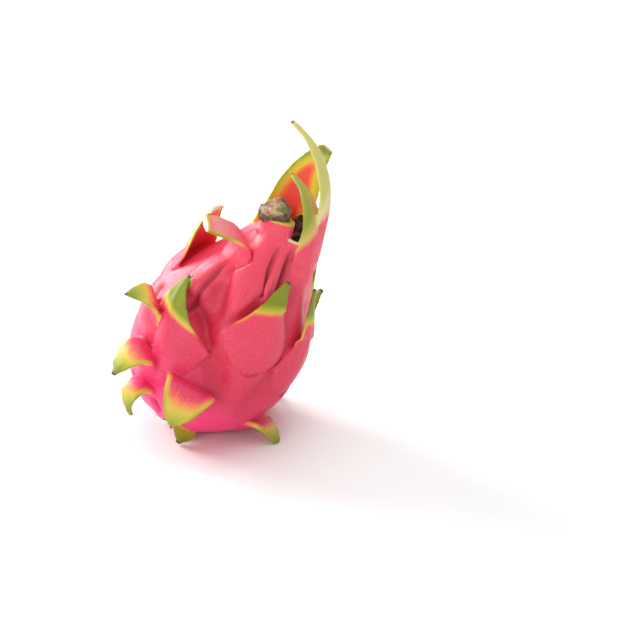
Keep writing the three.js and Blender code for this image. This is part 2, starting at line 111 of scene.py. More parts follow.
# ---- the bracts: as in the CAD, but for the cut curl's narrower start, with how each one colours ----
# tip: length of the green tip; soft: length over which it turns pink
# slant: how much longer the tip is at one margin
# edge, reach: width of the green margin, and how far it runs on below the tip
# proud: which margin stands off the rind, from -1 to 1; pale: how creamy its green is
# glow: how much light shines through it, painted into its colour as brighter oranges and yellows and also
# given as subsurface; wash: how bleached its pink is
# inside: how red its inner face is
# plump: how much thicker it is where it folds away from the rind
# sink: how much deeper its root's margins start
# line: how green the margin is below the tip; blush: how creamy pink its right side is
BRACTS = [
    {"name": "crown_rib", "around": 256, "along": 2, "heading": -8, "rooted": 64, "free": 8, "rise": 7,
     "yaw": -12, "widths": [15, 13, 10.5, 9, 8.5], "lift": [19, 25], "thick": [13, 14], "gutter": [12, 9],
     "tip": 0.5, "edge": 0, "reach": 0, "soft": 1.4, "sink": 9},
    {"name": "notch_rib", "around": 285, "along": 17, "heading": -7, "rooted": 52, "free": 3, "rise": 4.5,
     "yaw": 1, "widths": [8, 7, 6, 5], "lift": [5], "thick": [5, 4], "gutter": [16, 12], "tip": 0.5,
     "edge": 0.9, "reach": 8, "line": 0.5, "soft": 1.6, "sink": 6},
    {"name": "front_blade", "around": 318, "along": 40, "heading": -8, "rooted": 22, "free": 48,
     "rise": 5, "yaw": 3, "widths": [12, 10, 8, 6, 4.2, 0.9], "lift": [0, -27, -50, -71],
     "thick": [3.4, 1.5], "gutter": [16, 8], "tip": 29, "edge": 2, "reach": 8, "line": 0.8, "slant": -9,
     "soft": 14, "pale": 0.2, "inside": 0.5, "blush": 0.95},
    {"name": "right_blade", "around": 336, "along": 45, "heading": 1, "rooted": 20, "free": 69,
     "rise": 3.5, "yaw": -9, "widths": [11, 10.5, 8, 6.6, 4.8, 0.9], "lift": [-1, -19, -44, -65],
     "thick": [3.2, 1.5], "gutter": [14, 10], "tip": 42, "edge": 2.4, "reach": 60, "slant": -6,
     "soft": 16, "pale": 0.95, "glow": 0.1, "inside": 0.9, "blush": 0.5},
    {"name": "back_blade", "around": 111, "along": 44, "heading": 4, "rooted": 20, "free": 41, "rise": 3,
     "yaw": -23, "widths": [15, 14, 13, 12.5, 9, 3.6], "lift": [27, 31, 19, 4], "thick": [3, 1.5],
     "gutter": [22, 30], "tip": 8, "edge": 10, "reach": 70, "soft": 12, "glow": 0.95, "inside": 1},
    {"name": "side_blade", "around": 20, "along": 20, "heading": 4, "rooted": 26, "free": 26, "rise": 3,
     "yaw": 0, "widths": [15, 13, 10, 6, 0.9], "lift": [6, 2, -10], "thick": [3, 1.4], "gutter": [14, 12],
     "tip": 12, "edge": 3, "reach": 26, "soft": 9, "glow": 0.7, "inside": 0.9},
    {"name": "rear_blade", "around": 66, "along": 30, "heading": 4, "rooted": 22, "free": 24, "rise": 3,
     "yaw": 0, "widths": [14, 12, 9, 5, 0.9], "lift": [4, 2, -8], "thick": [3, 1.4], "gutter": [14, 12],
     "tip": 12, "edge": 3, "reach": 20, "soft": 9, "glow": 0.4, "inside": 0.9},
    {"name": "left_cut_curl", "around": 218, "along": -1, "heading": 3, "rooted": 46, "free": 35,
     "rise": 5, "yaw": 23, "widths": [14, 12.5, 9.5, 7.5, 4.6], "lift": [89, 116, 125], "thick": [5, 3.2],
     "gutter": [20, 9], "tip": 0, "edge": 1.5, "reach": 30, "wash": 0.9, "sink": 8},
    {"name": "left_cut_blade", "around": 146, "along": 2, "heading": 24, "rooted": 24, "free": 31,
     "rise": 4, "yaw": -14, "widths": [16, 16, 15, 12, 7], "lift": [28, 20, 5], "thick": [3.2, 1.8],
     "gutter": [20, 15], "tip": 0, "edge": 4.2, "reach": 34, "inside": 0.9},
    {"name": "left_curl", "around": 202, "along": -16, "heading": 10, "rooted": 20, "free": 18, "rise": 5,
     "yaw": 4, "widths": [18, 17, 13, 7, 0.9], "lift": [75, 112, 136], "thick": [3.4, 1.4],
     "gutter": [40, 16], "tip": 8, "edge": 2.4, "reach": 14, "line": 0.8, "soft": 9, "plump": 1},
    {"name": "left_shield", "around": 264, "along": -22, "heading": -38, "rooted": 44, "free": 18,
     "rise": 6.5, "yaw": 30, "widths": [17, 20, 17, 10.5, 5.8, 1], "lift": [-6, -11], "thick": [3.4, 1.5],
     "gutter": [60, 14], "tip": 18, "edge": 1.3, "reach": 16, "line": 0.55, "slant": 7, "proud": 0.85,
     "sink": 7},
    {"name": "front_shield", "around": 288, "along": -8, "heading": -4, "rooted": 48, "free": 14,
     "rise": 6, "yaw": 10, "widths": [20, 25, 23, 13, 5.5, 1], "lift": [13, 15], "thick": [3.2, 1.5],
     "gutter": [55, 10], "tip": 15, "edge": 1.3, "reach": 22, "line": 0.4, "slant": -2, "proud": -0.4,
     "sink": 9},
    {"name": "right_shield", "around": 329, "along": -15, "heading": 0, "rooted": 46, "free": 24,
     "rise": 5, "yaw": -1, "widths": [17, 20, 16, 8, 4, 0.9], "lift": [-2, 0], "thick": [3.2, 1.4],
     "gutter": [45, 10], "tip": 15, "edge": 1.3, "reach": 18, "line": 0.5, "sink": 8},
    {"name": "rear_right_shield", "around": 30, "along": -16, "heading": 6, "rooted": 36, "free": 20,
     "rise": 5, "yaw": 0, "widths": [17, 20, 15, 8, 1], "lift": [24, 40], "thick": [3.2, 1.4],
     "gutter": [45, 12], "tip": 11, "edge": 1.6, "reach": 16, "line": 0.7, "soft": 8},
    {"name": "rear_shield", "around": 84, "along": -22, "heading": -6, "rooted": 42, "free": 20,
     "rise": 5, "yaw": 0, "widths": [18, 21, 17, 9, 1], "lift": [22, 30], "thick": [3.2, 1.4],
     "gutter": [45, 12], "tip": 11, "edge": 1.6, "reach": 16, "line": 0.7, "soft": 8},
    {"name": "rear_left_shield", "around": 134, "along": -16, "heading": 4, "rooted": 36, "free": 14,
     "rise": 5, "yaw": 0, "widths": [17, 20, 15, 8, 1], "lift": [20, 34], "thick": [3.2, 1.4],
     "gutter": [45, 12], "tip": 11, "edge": 1.6, "reach": 16, "line": 0.7, "soft": 8},
    {"name": "base_left", "around": 219, "along": -31, "heading": 5, "rooted": 16, "free": 19,
     "rise": 2.5, "yaw": -20, "widths": [9, 11, 10, 6.5, 1], "lift": [108, 140, 146], "thick": [3.4, 1.5],
     "gutter": [30, 16], "tip": 9, "edge": 3, "reach": 10, "line": 0.9, "soft": 11, "plump": 4},
    {"name": "base_left_low", "around": 236, "along": -36, "heading": -10, "rooted": 8, "free": 19,
     "rise": 2, "yaw": -26, "widths": [7, 7.5, 6.5, 4, 1], "lift": [96, 160, 192], "thick": [3, 1.4],
     "gutter": [18, 10], "tip": 9, "edge": 3.5, "reach": 10, "line": 0.9, "soft": 10, "plump": 4},
    {"name": "base_front", "around": 265, "along": -29, "heading": -4, "rooted": 14, "free": 21,
     "rise": 3, "yaw": -11, "widths": [12, 14, 13, 7.5, 1], "lift": [102, 156, 176], "thick": [3.4, 1.5],
     "gutter": [22, 16], "tip": 8, "edge": 4.5, "reach": 14, "line": 0.95, "soft": 13, "plump": 5},
    {"name": "base_bottom", "around": 285, "along": -43, "heading": 6, "rooted": 8, "free": 7, "rise": 2,
     "yaw": -2, "widths": [9, 10, 9, 6, 1], "lift": [50, 99, 145], "thick": [3, 1.4], "gutter": [18, 10],
     "tip": 5, "edge": 2.4, "reach": 9, "soft": 6, "plump": 2},
    {"name": "base_tip", "around": 212, "along": -25, "heading": 2, "rooted": 10, "free": 7, "rise": 2,
     "yaw": 0, "widths": [8, 8, 5, 1], "lift": [61, 91], "thick": [2.8, 1.3], "gutter": [24, 9], "tip": 2,
     "edge": 1.2, "reach": 6, "soft": 3},
    {"name": "prop_front", "around": 334, "along": -31, "heading": 0, "rooted": 12, "free": 18, "rise": 3,
     "yaw": 0, "widths": [12, 13, 11, 6.5, 1.4], "lift": [55, 75, 95], "thick": [3.8, 2],
     "gutter": [24, 12], "tip": 7, "edge": 2.4, "reach": 12, "line": 0.8, "soft": 9, "plump": 3},
    {"name": "prop_rear", "around": 28, "along": -31, "heading": 0, "rooted": 12, "free": 18, "rise": 3,
     "yaw": 0, "widths": [12, 13, 11, 6.5, 1.4], "lift": [55, 75, 95], "thick": [3.8, 2],
     "gutter": [24, 12], "tip": 7, "edge": 2.4, "reach": 12, "line": 0.8, "soft": 9, "plump": 3},
    {"name": "base_rear", "around": 78, "along": -40, "heading": 0, "rooted": 12, "free": 18, "rise": 2.5,
     "yaw": 0, "widths": [11, 12, 10, 6, 1], "lift": [70, 110, 130], "thick": [3, 1.4],
     "gutter": [20, 12], "tip": 11, "edge": 1.6, "reach": 16, "line": 0.7, "soft": 8},
    {"name": "base_rear_left", "around": 132, "along": -41, "heading": 0, "rooted": 12, "free": 15,
     "rise": 2.5, "yaw": 0, "widths": [12, 12, 10, 6, 1], "lift": [50, 80, 105], "thick": [3, 1.4],
     "gutter": [22, 12], "tip": 11, "edge": 1.6, "reach": 16, "line": 0.7, "soft": 8},
]


# ---- small helpers ----
def smooth(x):
    x = np.clip(x, 0, 1)
    return x * x * (3 - 2 * x)


def mix(a, b, share):
    return a + (b - a) * share


def along_curve(values, share):
    """Value at each share (0 to 1) of evenly spaced values, on a smooth curve through them."""
    values = np.asarray(values, float)
    share = np.clip(np.asarray(share, float), 0, 1)
    if len(values) == 1:
        return np.full(share.shape, values[0])
    place = share * (len(values) - 1)
    i = np.minimum(place.astype(int), len(values) - 2)
    f = place - i
    padded = np.concatenate([[2 * values[0] - values[1]], values, [2 * values[-1] - values[-2]]])
    before, a, b, after = (padded[i + k] for k in range(4))
    return (
        a * (2 * f**3 - 3 * f**2 + 1)
        + (b - before) / 2 * (f**3 - 2 * f**2 + f)
        + b * (3 * f**2 - 2 * f**3)
        + (after - a) / 2 * (f**3 - f**2)
    )


def turned_about(v, axis, angle):
    c, s = math.cos(angle), math.sin(angle)
    return v * c + np.cross(axis, v) * s + axis * np.dot(axis, v) * (1 - c)


# ---- the plain rind's surface ----
def rind_radius(t):
    t = np.asarray(t, float)
    lower = GIRTH_RADIUS * np.sqrt(np.clip(1 - (t / BASE_LENGTH) ** 2, 0, 1))
    taper = np.maximum(0, np.cos(math.pi / 2 * np.clip(t / CROWN_LENGTH, 0, 1))) ** CROWN_TAPER
    upper = NECK_RADIUS + (GIRTH_RADIUS - NECK_RADIUS) * taper
    return np.where(t < 0, lower, upper)


def sway(t):
    return -CROWN_SWAY * (np.maximum(0, t) / CROWN_LENGTH) ** 2


def rind_point(around, t):
    r = rind_radius(t)
    return np.array([sway(t) + r * math.cos(around), r * math.sin(around), t], float)


def rind_frame(around, t):
    """Surface point, direction to the crown, direction of growing "around", and outward normal."""
    low, high = max(t - 0.05, 0.01 - BASE_LENGTH), min(t + 0.05, CROWN_LENGTH)
    crownward = rind_point(around, high) - rind_point(around, low)
    crownward /= np.linalg.norm(crownward)
    sideways = np.array([-math.sin(around), math.cos(around), 0.0])
    normal = np.cross(sideways, crownward)
    return rind_point(around, t), crownward, sideways, normal / np.linalg.norm(normal)


# ---- bracts ----
def bract_spine(bract):
    """The bract's centre line on its outer face: places, side and out directions, and the rind's radius."""
    total = bract["rooted"] + bract["free"]
    step = total / SPINE_STEPS
    heading = math.radians(bract["heading"])
    around, t = math.radians(bract["around"]), float(bract["along"])
    at, forward, out, radius = [], [], [], []
    start = None
    for k in range(SPINE_STEPS + 1):
        walked = k * step
        if walked <= bract["rooted"]:
            place, crownward, sideways, normal = rind_frame(around, t)
            height = mix(-BURIED, bract["rise"], smooth(walked / bract["rooted"]))
            at.append(place + normal * height)
            forward.append(crownward * math.cos(heading) + sideways * math.sin(heading))
            out.append(normal)
            radius.append(float(rind_radius(t)))
            t = min(t + step * math.cos(heading) * crownward[2], CROWN_LENGTH - 0.5)
            around += step * math.sin(heading) / max(float(rind_radius(t)), NECK_RADIUS / 2)
            start = (forward[-1], np.cross(forward[-1], normal), normal)
            continue
        share = (walked - bract["rooted"]) / bract["free"]
        turn = math.radians(float(along_curve([0, *bract["lift"]], share)))
        yaw = -math.radians(bract["yaw"]) * share
        level, across = turned_about(start[0], start[2], yaw), turned_about(start[1], start[2], yaw)
        forward.append(turned_about(level, across, turn))
        out.append(turned_about(start[2], across, turn))
        at.append(at[-1] + forward[-1] * step)
        radius.append(radius[-1])
    at, forward, out = np.array(at), np.array(forward), np.array(out)
    side = np.cross(forward, out)
    side /= np.linalg.norm(side, axis=1)[:, None]
    return at, side, out, np.array(radius)


def bract_surface(bract, q, share, inner):
    """Places on a bract: q is -1 to 1 across, share 0 to 1 from root to tip, inner 1 on the inner face."""
    at, side, out, radius = bract_spine(bract)
    k = np.clip(np.round(share * SPINE_STEPS).astype(int), 0, SPINE_STEPS)
    total = bract["rooted"] + bract["free"]
    walked = share * total
    free = walked > bract["rooted"] + 1e-6
    free_share = np.where(free, (walked - bract["rooted"]) / bract["free"], 0)
    rooted_share = np.clip(walked / bract["rooted"], 0, 1)
    half = along_curve(bract["widths"], share)
    late = smooth(rooted_share * 2 - 1)
    hollow = np.where(
        free,
        mix(bract["gutter"][0], bract["gutter"][1], free_share),
        mix(np.maximum(radius[k], half), bract["gutter"][0], late),
    )
    middle = np.where(
        free,
        mix(bract["thick"][0], bract["thick"][1], free_share),
        mix(bract["rise"] + ROOT_THICKNESS, bract["thick"][0], late),
    )
    wander = 0.5 * np.sin(share * 17 + bract["around"]) + 0.3 * np.sin(share * 41 + 2 * bract["around"])
    reach = q * (half + wander * np.abs(q) * free_share)
    angle = reach / hollow
    thickness = np.maximum(MARGIN_THICKNESS, middle * (1 - MARGIN_THINNING * q * q))
    fold = np.where(free, smooth(1 - free_share / 0.6), late)
    thickness += bract.get("plump", 0) * (1 - 0.7 * q * q) * fold
    lying = 1 - bract.get("proud", 0) * q
    droop = MARGIN_DROOP * bract["rise"] * q * q * smooth(rooted_share) * np.where(free, 0, lying)
    sunk = bract.get("sink", ROOT_SINK) * q * q * (1 - smooth(rooted_share))
    midrib = MIDRIB_HEIGHT * np.exp(-((q / MIDRIB_WIDTH) ** 2)) * (1 - inner) * late
    depth = hollow * (1 - np.cos(angle)) + droop + sunk + inner * thickness - midrib
    return at[k] + side[k] * (hollow * np.sin(angle))[:, None] - out[k] * depth[:, None]


def only_this(piece):
    bpy.ops.object.select_all(action="DESELECT")
    piece.select_set(True)
    bpy.context.view_layer.objects.active = piece


def places_of(piece):
    co = np.empty(len(piece.data.vertices) * 3, np.float32)
    piece.data.vertices.foreach_get("co", co)
    return co.reshape(-1, 3).astype(float)


def put_places(piece, co):
    piece.data.vertices.foreach_set("co", np.ascontiguousarray(co, np.float32).ravel())
    piece.data.update()


def facing_out(piece):
    only_this(piece)
    bpy.ops.object.mode_set(mode="EDIT")
    bpy.ops.mesh.select_all(action="SELECT")
    bpy.ops.mesh.normals_make_consistent(inside=False)
    bpy.ops.object.mode_set(mode="OBJECT")


def drop_crumbs(piece):
    """Keeps the one skin that a remesh gives, and deletes the crumbs it leaves beside or inside it."""
    co = places_of(piece)
    on_skin = int(np.argmax(co[:, 1]))
    only_this(piece)
    bpy.ops.object.mode_set(mode="EDIT")
    bpy.ops.mesh.select_mode(type="VERT")
    bpy.ops.mesh.select_all(action="DESELECT")
    bpy.ops.object.mode_set(mode="OBJECT")
    piece.data.vertices[on_skin].select = True
    bpy.ops.object.mode_set(mode="EDIT")
    bpy.ops.mesh.select_linked()
    bpy.ops.mesh.select_all(action="INVERT")
    bpy.ops.mesh.delete(type="VERT")
    bpy.ops.object.mode_set(mode="OBJECT")


def grow_bract(bract):
    """A flat grid, extruded to a slab and bent to the bract's place: one closed leaf, in millimetres."""
    bpy.ops.object.select_all(action="DESELECT")
    bpy.ops.mesh.primitive_grid_add(x_subdivisions=LEAF_COLUMNS, y_subdivisions=LEAF_ROWS, size=2)
    leaf = bpy.context.object
    leaf.name = bract["name"]
    bpy.ops.object.mode_set(mode="EDIT")
    bpy.ops.mesh.select_all(action="SELECT")
    bpy.ops.mesh.extrude_region_move(TRANSFORM_OT_translate={"value": (0, 0, -1)})
    bpy.ops.object.mode_set(mode="OBJECT")
    flat = places_of(leaf)
    q, share, inner = flat[:, 0], (flat[:, 1] + 1) / 2, (flat[:, 2] < -0.5).astype(float)
    put_places(leaf, bract_surface(bract, q, share, inner))
    facing_out(leaf)
    return leaf, q, share, inner


# ---- the plain rind, with the hollow of the crown ----
def hollow_profile():
    """[radius, height] from the stalk end up to the rim, and down into the crown's hollow."""
    lower = -BASE_LENGTH * np.cos(np.linspace(0, math.pi / 2, PROFILE_STEPS))
    upper = np.linspace(0, CROWN_LENGTH - 1, PROFILE_STEPS)[1:]
    rind = [(float(rind_radius(t)), t) for t in (*lower, *upper)]
    floor = CROWN_LENGTH - CUP_DEPTH - SEAT_GAP
    inside = CUP_RADIUS + SEAT_GAP
    rim = [(mix(NECK_RADIUS, inside, 0.35), CROWN_LENGTH), (inside + 0.4, CROWN_LENGTH - 0.1)]
    hollow = [(inside, CROWN_LENGTH - 1), (CUP_FLOOR_RADIUS + SEAT_GAP, floor), (0, floor)]
    return rind + rim + hollow


def grow_rind():
    bpy.ops.object.select_all(action="DESELECT")
    bpy.ops.mesh.primitive_uv_sphere_add(segments=RIND_SEGMENTS, ring_count=RIND_RINGS, radius=1)
    body = bpy.context.object
    ball = places_of(body)
    profile = np.array(hollow_profile())
    lengths = np.concatenate([[0], np.cumsum(np.linalg.norm(np.diff(profile, axis=0), axis=1))])
    walked = (np.arcsin(np.clip(ball[:, 2], -1, 1)) / math.pi + 0.5) * lengths[-1]
    r, t = np.interp(walked, lengths, profile[:, 0]), np.interp(walked, lengths, profile[:, 1])
    around = np.arctan2(ball[:, 1], ball[:, 0])
    from_notch = np.angle(np.exp(1j * (around - math.radians(NOTCH_AROUND))))
    notch = np.exp(-((from_notch / NOTCH_WIDTH) ** 2))
    t = t - NOTCH_DEPTH * notch * smooth((t - CROWN_LENGTH + NOTCH_RUN) / NOTCH_RUN) * (r > CUP_RADIUS)
    put_places(body, np.stack([sway(t) + r * np.cos(around), r * np.sin(around), t], 1))
    facing_out(body)
    return body


# ---- setting the fruit down on its flat spot ----
reach_down = math.hypot(BASE_LENGTH * math.cos(LEAN), GIRTH_RADIUS * math.sin(LEAN))
contact_shift = (BASE_LENGTH**2 - GIRTH_RADIUS**2) * math.sin(LEAN) * math.cos(LEAN) / reach_down
SET_DOWN = Matrix.Translation((contact_shift, 0, reach_down - FLAT_DEPTH)) @ Matrix.Rotation(LEAN, 4, "Y")


def upright(places):
    """Takes places from where the fruit lies, in metres, to its own upright frame, in millimetres."""
    back = np.array(SET_DOWN.inverted())
    return (places / MM) @ back[:3, :3].T + back[:3, 3]


def lie_down(piece):
    """Takes a piece from the upright frame in millimetres to where the fruit lies, in metres."""
    piece.data.transform(Matrix.Scale(MM, 4) @ SET_DOWN)
    piece.data.update()


# ---- folds pressed into the rind and ridges raised on it ----
# points are (around, along) on the rind; width and height are in millimetres, a fold's height negative
# A fold on the crown or the flank runs under the shields, which it leaves as they are.
SHIELDS = ("left_shield", "front_shield", "right_shield", "left_curl", "rear_right_shield", "rear_shield")
FOLDS = [
    {"points": [(225, 43), (225, 37), (225, 31), (226, 24), (227, 16)], "width": 1.0, "height": -1.3},
    {"points": [(255, 64), (257, 57), (259, 51), (264, 45), (269, 40)], "width": 0.8, "height": -1.4},
    {"points": [(277, 66), (278, 60), (280, 53), (282, 46), (284, 38)], "width": 1.7, "height": -4.0},
    {"points": [(225, 20), (234, 18), (244, 16), (254, 12)], "width": 3.0, "height": -2.6},
    {"points": [(243, 60), (250, 44), (254, 28), (257, 14)], "width": 6.0, "height": 2.0},
    {"points": [(206, 40), (210, 30), (214, 18)], "width": 6.0, "height": 1.4},
    {"points": [(189, 9), (201, 2), (211, -6), (222, -10)], "width": 2.4, "height": -1.4},
    {"points": [(208, -31), (224, -29), (240, -31), (252, -36)], "width": 1.4, "height": -1.8},
    {"points": [(240, 20), (256, 12), (268, 4), (282, -6)], "width": 7.0, "height": -4.2},
    {"points": [(236, 32), (250, 24), (262, 26), (274, 34)], "width": 5.0, "height": -3.0},
    {"points": [(300, 44), (306, 30), (308, 12), (304, -6)], "width": 6.0, "height": -2.4},
    {"points": [(345, 40), (352, 22), (354, 4), (350, -12)], "width": 5.0, "height": -2.4},
    {"points": [(52, 40), (55, 20), (56, 2), (58, -16)], "width": 5.0, "height": -2.4},
    {"points": [(92, 36), (100, 18), (108, 0), (110, -20)], "width": 3.0, "height": -2.2},
    {"points": [(140, 44), (146, 26), (158, 8), (160, -14)], "width": 4.0, "height": -2.4},
]
CREASE_WIDTH = 2.0  # a fold narrower than this is a crease, with painted shade in its floor


def press_folds(places, normals, number, fixed):
    """The skin's places after the folds and broad swellings, and how far each is in creases or valleys,
    which weights the painted shade there.

    fixed is 1 where a bract is free, and nothing moves there."""
    spared = np.isin(number, [k for k, bract in enumerate(BRACTS) if bract["name"] in SHIELDS])
    own = upright(places)
    x, y, t = own[:, 0] - sway(own[:, 2]), own[:, 1], own[:, 2]
    around = np.arctan2(y, x)
    girth = rind_radius(np.clip(t, -BASE_LENGTH + 4, CROWN_LENGTH))
    swell = 0.5 * np.sin(5 * around + 0.06 * t) * np.sin(0.11 * t + 2 * around)
    swell += 0.35 * np.sin(9 * around - 0.1 * t + 1)
    moved, crease_shade, valley_shade = (np.zeros(len(places)) for _ in range(3))
    for fold in FOLDS:
        nearest = np.full(len(places), 1e9)
        line = [(math.radians(a), h) for a, h in fold["points"]]
        for (a0, t0), (a1, t1) in zip(line[:-1], line[1:]):
            u = np.angle(np.exp(1j * (around - a0))) * girth
            v = t - t0
            du, dv = (a1 - a0) * girth, t1 - t0
            f = np.clip((u * du + v * dv) / (du * du + dv * dv), 0, 1)
            nearest = np.minimum(nearest, np.hypot(u - f * du, v - f * dv))
        near = np.exp(-((nearest / fold["width"]) ** 2))
        shoulder = np.exp(-(((nearest - 2.4 * fold["width"]) / (1.5 * fold["width"])) ** 2))
        moved += fold["height"] * (near - 0.2 * shoulder)
        if fold["height"] < 0 and fold["width"] < CREASE_WIDTH:
            crease_shade = np.maximum(crease_shade, near)
        elif fold["height"] < 0:
            valley_shade = np.maximum(valley_shade, near * -fold["height"] / 4)
    held = 1 - fixed
    moved, crease_shade, valley_shade = (values * ~spared * held for values in (moved, crease_shade, valley_shade))
    return places + normals * ((swell * held + moved) * MM)[:, None], crease_shade, valley_shade


def normals_of(piece):
    n = np.empty(len(piece.data.vertices) * 3, np.float32)
    piece.data.vertex_normals.foreach_get("vector", n)
    return n.reshape(-1, 3).astype(float)


def keep_attribute(piece, name, values):
    layer = piece.data.attributes.new(name, "FLOAT", "POINT")
    layer.data.foreach_set("value", np.ascontiguousarray(values, np.float32))


def apply_modifier(piece, kind, **settings):
    only_this(piece)
    modifier = piece.modifiers.new(kind.lower(), kind)
    for key, value in settings.items():
        setattr(modifier, key, value)
    bpy.ops.object.modifier_apply(modifier=modifier.name)


def grown_from(tree, faces, points, tags, own):
    """What each place grew from: its bract's number or -1, q, share, inner, and how far off that is."""
    found = np.empty((len(own), 5))
    for i, p in enumerate(own):
        spot, _, face, found[i, 4] = tree.find_nearest(Vector(p))
        corners = list(faces[face])
        nearness = 1 / (np.linalg.norm(points[corners] - np.array(spot), axis=1) + 1e-6)
        found[i, :4] = nearness @ tags[corners] / nearness.sum()
        found[i, 0] = tags[corners[0], 0]
    return found


def freedom(found):
    """How free the skin stands, from 0 on the rind to 1 on a free bract, and how far up its root it is."""
    number, share = np.round(found[:, 0]).astype(int), found[:, 2]
    rooted = np.array([b["rooted"] / (b["rooted"] + b["free"]) for b in BRACTS] + [1.0])[number]
    up_the_root = np.where(number < 0, 0, share / rooted)
    return np.where(number < 0, 0, smooth((up_the_root - 0.8) / 0.25)), up_the_root


def grow_all():
    """The plain rind and its bracts as one object, with what each of its points and faces belongs to."""
    body = grow_rind()
    leaves = [body]
    points, faces = [places_of(body)], [tuple(p.vertices) for p in body.data.polygons]
    tags = [np.tile([-1.0, 0, 0, 0], (len(body.data.vertices), 1))]
    count = len(body.data.vertices)
    for number, bract in enumerate(BRACTS):
        leaf, q, share, inner = grow_bract(bract)
        leaves.append(leaf)
        points.append(places_of(leaf))
        faces += [tuple(v + count for v in p.vertices) for p in leaf.data.polygons]
        tags.append(np.stack([np.full(len(q), float(number)), q, share, inner], 1))
        count += len(q)
    bpy.ops.object.select_all(action="DESELECT")
    for leaf in leaves:
        leaf.select_set(True)
    bpy.context.view_layer.objects.active = body
    bpy.ops.object.join()
    body.name = body.data.name = "rind_skin"
    return body, faces, np.concatenate(points), np.concatenate(tags)


def soften_roots(body, found):
    """Lets the rind run over softly into each bract's root, and keeps the bract crisp where it is free."""
    _, up_the_root = freedom(found)
    plump = np.array([bool(b.get("plump")) for b in BRACTS] + [False])[np.round(found[:, 0]).astype(int)]
    soft = 1 - 0.9 * smooth((up_the_root - np.where(plump, 1.1, 0.25)) / 0.4)
    group = body.vertex_groups.new(name="root")
    for level in range(1, SOFT_LEVELS + 1):
        chosen = np.nonzero(np.round(soft * SOFT_LEVELS) == level)[0]
        group.add(chosen.tolist(), level / SOFT_LEVELS, "REPLACE")
    apply_modifier(body, "SMOOTH", factor=0.5, iterations=SOFTENING_ROUNDS, vertex_group="root")


def make_rind():
    body, faces, points, tags = grow_all()
    tree = BVHTree.FromPolygons(points.tolist(), faces)
    lie_down(body)
    only_this(body)
    bpy.ops.object.mode_set(mode="EDIT")
    bpy.ops.mesh.select_all(action="SELECT")
    bpy.ops.mesh.bisect(plane_co=(0, 0, 0), plane_no=(0, 0, 1), use_fill=True, clear_inner=True)
    bpy.ops.object.mode_set(mode="OBJECT")
    apply_modifier(body, "REMESH", mode="VOXEL", voxel_size=SKIN_VOXEL * MM, adaptivity=0)
    drop_crumbs(body)

    found = grown_from(tree, faces, points, tags, upright(places_of(body)))
    free, _ = freedom(found)
    soften_roots(body, found)
    places, crease_shade, valley_shade = press_folds(places_of(body), normals_of(body), np.round(found[:, 0]), free)
    places[:, 2] = np.maximum(places[:, 2], 0)
    put_places(body, places)
    # how far each place is in creases or valleys, which weights the painted shade there
    keep_attribute(body, "crease_shade", crease_shade)
    keep_attribute(body, "valley_shade", valley_shade)
    triangles = sum(len(p.vertices) - 2 for p in body.data.polygons)
    if triangles > SKIN_TRIANGLES:
        apply_modifier(body, "DECIMATE", ratio=SKIN_TRIANGLES / triangles)

    # Each point of the skin takes the colour of the bract or the rind that it was grown from.
    places = places_of(body)
    places[:, 2] = np.maximum(places[:, 2], 0)
    put_places(body, places)
    own = upright(places)
    paint_attributes(body, own, grown_from(tree, faces, points, tags, own))
    bpy.ops.object.select_all(action="DESELECT")
    body.select_set(True)
    bpy.ops.object.shade_smooth()
    return body


def paint_attributes(skin, own, found):
    number, q, share, inner, away = found.T
    number = np.round(number).astype(int)
    green, glow, tip, cut, pale, wash, blush = (np.zeros(len(own)) for _ in range(7))
    green[:] = -0.3
    tip[:] = np.where(number < 0, smooth((own[:, 2] - CROWN_LENGTH + 3) / 3) * 0.8, 0)
    free, _ = freedom(found)
    for k, bract in enumerate(BRACTS):
        here = number == k
        total = bract["rooted"] + bract["free"]
        to_tip = (1 - share[here]) * total
        half = along_curve(bract["widths"], share[here])
        to_edge = (1 - np.abs(q[here])) * half
        soft = bract.get("soft", 6)
        green[here] = (bract["tip"] + bract.get("slant", 0) * q[here] - to_tip) / soft + 0.5
        if bract["edge"]:
            run = smooth(1 - (to_tip - bract["tip"]) / bract["reach"])
            margin = (1 - to_edge / bract["edge"]) * run * bract.get("line", 1)
            green[here] = np.maximum(green[here], margin * 1.1 - 0.1)
        loose = smooth((share[here] * total - bract["rooted"] - 12) / 18)
        inner[here] *= bract.get("inside", 0.1)
        glow[here] = bract.get("glow", 0) * free[here]
        pale[here] = bract.get("pale", 0)
        blush[here] = bract.get("blush", 0) * smooth((q[here] + 0.5) / 1.1) * smooth(to_tip / 26)
        wash[here] = bract.get("wash", 0) * loose
        if bract["widths"][-1] < 2.5:
            tip[here] = smooth(1 - (to_tip - 0.6) / 1.2)
        elif bract["name"] != "crown_rib":
            cut[here] = smooth(1 - (to_tip - 0.3) / 0.6)
    bridged = np.maximum(smooth((away - 0.45) / 0.5) * (np.abs(q) > 0.7), smooth((away - 1) / 0.5))
    green = mix(np.clip(green, -0.3, 1.4), -0.3, bridged)
    tip *= 1 - bridged * (number >= 0)
    crownward = np.clip((own[:, 2] + BASE_LENGTH) / (BASE_LENGTH + CROWN_LENGTH), 0, 1)
    for name, values in (
        ("green", green), ("inner", inner * free), ("glow", glow), ("pale", pale), ("wash", wash),
        ("blush", blush), ("dry_tip", tip), ("cut", cut), ("crownward", crownward),
    ):
        keep_attribute(skin, name, values)
    leaf = skin.data.attributes.new("leaf", "FLOAT_VECTOR", "POINT")
    on_leaf = np.stack([q * 8, share * 40, number * 7.3], 1)
    leaf.data.foreach_set("vector", on_leaf.astype(np.float32).ravel())


# ---- finishes ----
def paint(r, g, b):
    """A colour as the eye names it, 0 to 255, as the shader takes it."""
    def linear(c):
        c /= 255
        return c / 12.92 if c <= 0.04045 else ((c + 0.055) / 1.055) ** 2.4
    return (linear(r), linear(g), linear(b), 1)


